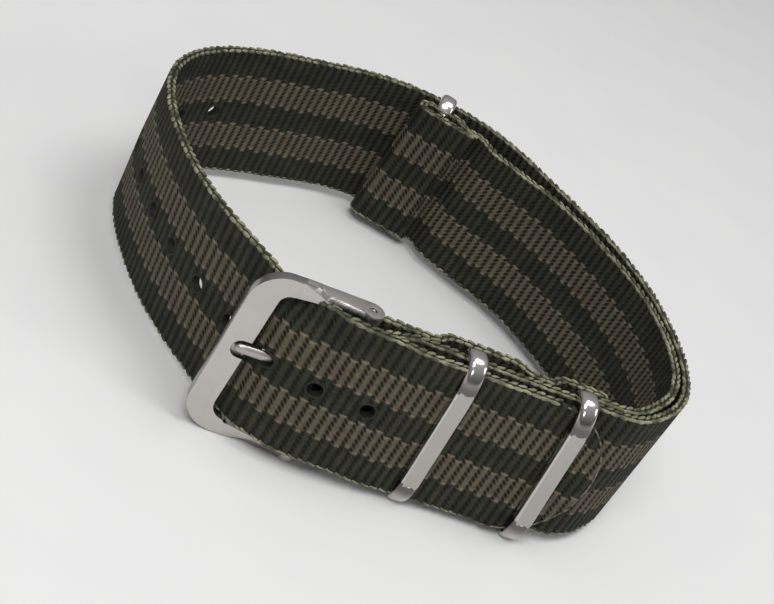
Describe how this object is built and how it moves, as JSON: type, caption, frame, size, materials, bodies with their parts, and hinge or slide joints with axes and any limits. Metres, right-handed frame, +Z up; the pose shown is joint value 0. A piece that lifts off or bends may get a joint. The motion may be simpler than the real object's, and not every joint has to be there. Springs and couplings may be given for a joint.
{
  "type": "webbing watch strap",
  "caption": "One-piece striped nylon watch strap, buckled into a loop, with a pin buckle on a spring bar, sliding keepers and an end ring.",
  "frame": {"origin": "centre of the strap's box on the surface that it stands on", "axes": "+X along the straight buckled front wall, from the buckle towards the tail's tip; +Y from the front wall to the back of the loop; +Z up, across the width of the webbing"},
  "size_m": [0.0792, 0.0734, 0.0252],
  "materials": {
    "striped_nylon": "ribbed woven nylon, dark green-black with two taupe stripes",
    "dark_thread": "dark sewing thread",
    "satin_steel": "satin with polished edges",
    "bright_steel": "bright drawn steel"
  },
  "bodies": {
    "webbing": {"long_strap": "striped_nylon", "strap_tail": "striped_nylon", "short_strap": "striped_nylon", "seam_near": "dark_thread", "seam_middle": "dark_thread", "seam_far": "dark_thread", "seam_ring": "dark_thread", "spring_bar_barrel": "bright_steel", "spring_bar_spring": "bright_steel"},
    "buckle_frame": {"buckle_frame": "satin_steel"},
    "buckle_tongue": {"buckle_tongue": "satin_steel"},
    "tip_upper": {"spring_bar_tip_upper": "bright_steel"},
    "tip_lower": {"spring_bar_tip_lower": "bright_steel"},
    "keeper_near": {"keeper_near": "satin_steel"},
    "keeper_far": {"keeper_far": "satin_steel"},
    "end_ring": {"end_ring": "satin_steel"}
  },
  "joints": [
    {"name": "buckle_frame_swing", "type": "hinge", "parent": "webbing", "child": "buckle_frame", "pos_m": [-0.01165, -0.03248, 0.0126], "axis": [0, 0, 1], "range_deg": [-8, 25], "deforming": ["strap_tail"]},
    {"name": "buckle_tongue_swing", "type": "hinge", "parent": "buckle_frame", "child": "buckle_tongue", "pos_m": [-0.01165, -0.03248, 0.0126], "axis": [0, 0, 1], "range_deg": [0, 20], "deforming": ["strap_tail"]},
    {"name": "spring_bar_tip_upper_slide", "type": "slide", "parent": "webbing", "child": "tip_upper", "axis": [0, 0, -1], "range_m": [0, 0.0012], "stiffness_N_per_m": 600, "springref_m": -0.0015, "deforming": ["spring_bar_spring"]},
    {"name": "spring_bar_tip_lower_slide", "type": "slide", "parent": "webbing", "child": "tip_lower", "axis": [0, 0, 1], "range_m": [0, 0.0012], "stiffness_N_per_m": 600, "springref_m": -0.0015, "deforming": ["spring_bar_spring"]},
    {"name": "keeper_near_slide", "type": "slide", "parent": "webbing", "child": "keeper_near", "axis": [1, 0, 0], "range_m": [-0.0014, 0.0045]},
    {"name": "keeper_far_slide", "type": "slide", "parent": "webbing", "child": "keeper_far", "axis": [1, 0, 0], "range_m": [-0.0014, 0.0004]},
    {"name": "end_ring_swing", "type": "hinge", "parent": "webbing", "child": "end_ring", "pos_m": [0.00527, 0.03119, 0.0126], "axis": [0, 0, 1], "range_deg": [-3, 8]}
  ]
}
